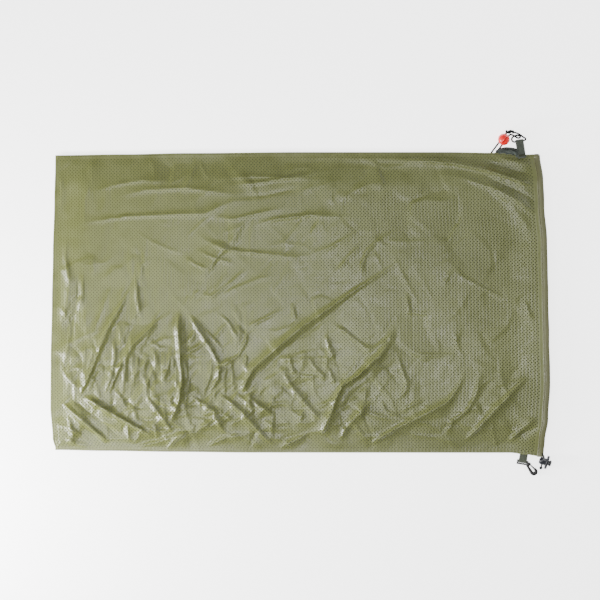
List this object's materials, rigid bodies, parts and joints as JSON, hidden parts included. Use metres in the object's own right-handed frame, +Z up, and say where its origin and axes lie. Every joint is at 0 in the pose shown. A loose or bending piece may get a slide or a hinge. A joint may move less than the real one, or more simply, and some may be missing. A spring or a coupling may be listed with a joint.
{
  "type": "drawstring storage sack",
  "caption": "Flat drawstring sack of perforated coated cloth with mouth casings, drawcord and lock, ball cord lock on a tether, webbing loops and a snap hook.",
  "frame": {"origin": "middle of the sack on the surface that it lies on", "axes": "+X towards the mouth, along the length; +Y across the width; +Z up from the surface"},
  "size_m": [1.0227, 0.7044, 0.0252],
  "materials": {
    "mesh_cloth": "perforated coated cloth, satin",
    "casing_cloth": "folded coated cloth, satin",
    "thread": "sewing thread",
    "webbing": "woven webbing, matt",
    "black_cord": "braided cord",
    "red_plastic": "gloss, slightly translucent",
    "black_plastic": "moulded",
    "lock_plastic": "moulded, semi-gloss",
    "spring_steel": "wire"
  },
  "bodies": {
    "sack": {"back_casing": "casing_cloth", "back_casing_thread": "thread", "back_panel": "mesh_cloth", "base_seam": "mesh_cloth", "base_seam_thread": "thread", "drawcord": "black_cord", "drawcord_end_knot": "black_cord", "front_casing": "casing_cloth", "front_casing_thread": "thread", "front_panel": "mesh_cloth", "gathered_webbing": "webbing", "lower_seam_thread": "thread", "lower_side_seam": "mesh_cloth", "lower_tab_bartack": "thread", "lower_webbing_tab": "webbing", "tether_cord": "black_cord", "tether_knot": "black_cord", "upper_loop_bartack": "thread", "upper_seam_thread": "thread", "upper_side_seam": "mesh_cloth", "upper_webbing_loop": "webbing"},
    "ball_lock": {"ball_lock_shell": "red_plastic", "ball_lock_spring": "spring_steel"},
    "ball_cap": {"ball_lock_cap": "red_plastic"},
    "snap_hook": {"snap_hook_body": "black_plastic"},
    "hook_gate": {"snap_hook_gate": "black_plastic"},
    "cord_lock": {"drawcord_lock_barrel": "lock_plastic", "drawcord_lock_spring": "spring_steel"},
    "lock_button": {"drawcord_lock_button": "lock_plastic"}
  },
  "joints": [
    {"name": "ball_lock_slide", "type": "slide", "parent": "sack", "child": "ball_lock", "axis": [0.5827, 0.7874, 0.2011], "range_m": [-0.006, 0]},
    {"name": "ball_cap_press", "type": "slide", "parent": "ball_lock", "child": "ball_cap", "axis": [-0.8105, 0.5447, 0.2154], "range_m": [0, 0.0015], "stiffness_N_per_m": 400, "springref_m": -0.002, "deforming": ["ball_lock_spring"]},
    {"name": "hook_swing", "type": "hinge", "parent": "sack", "child": "snap_hook", "pos_m": [0.45461, -0.32414, 0.0039], "axis": [0.9851, -0.172, 0], "range_deg": [-110, 60]},
    {"name": "gate_open", "type": "hinge", "parent": "snap_hook", "child": "hook_gate", "pos_m": [0.47048, -0.33171, 0.0039], "axis": [0, 0, -1], "range_deg": [0, 14], "stiffness_Nm_per_rad": 0.03, "springref_deg": -8.59},
    {"name": "cord_lock_slide", "type": "slide", "parent": "sack", "child": "cord_lock", "axis": [0.309, 0.9511, 0], "range_m": [-0.0023, 0]},
    {"name": "lock_button_press", "type": "slide", "parent": "cord_lock", "child": "lock_button", "axis": [-0.9511, 0.309, 0], "range_m": [0, 0.002], "stiffness_N_per_m": 400, "springref_m": -0.002, "deforming": ["drawcord_lock_spring"]}
  ]
}
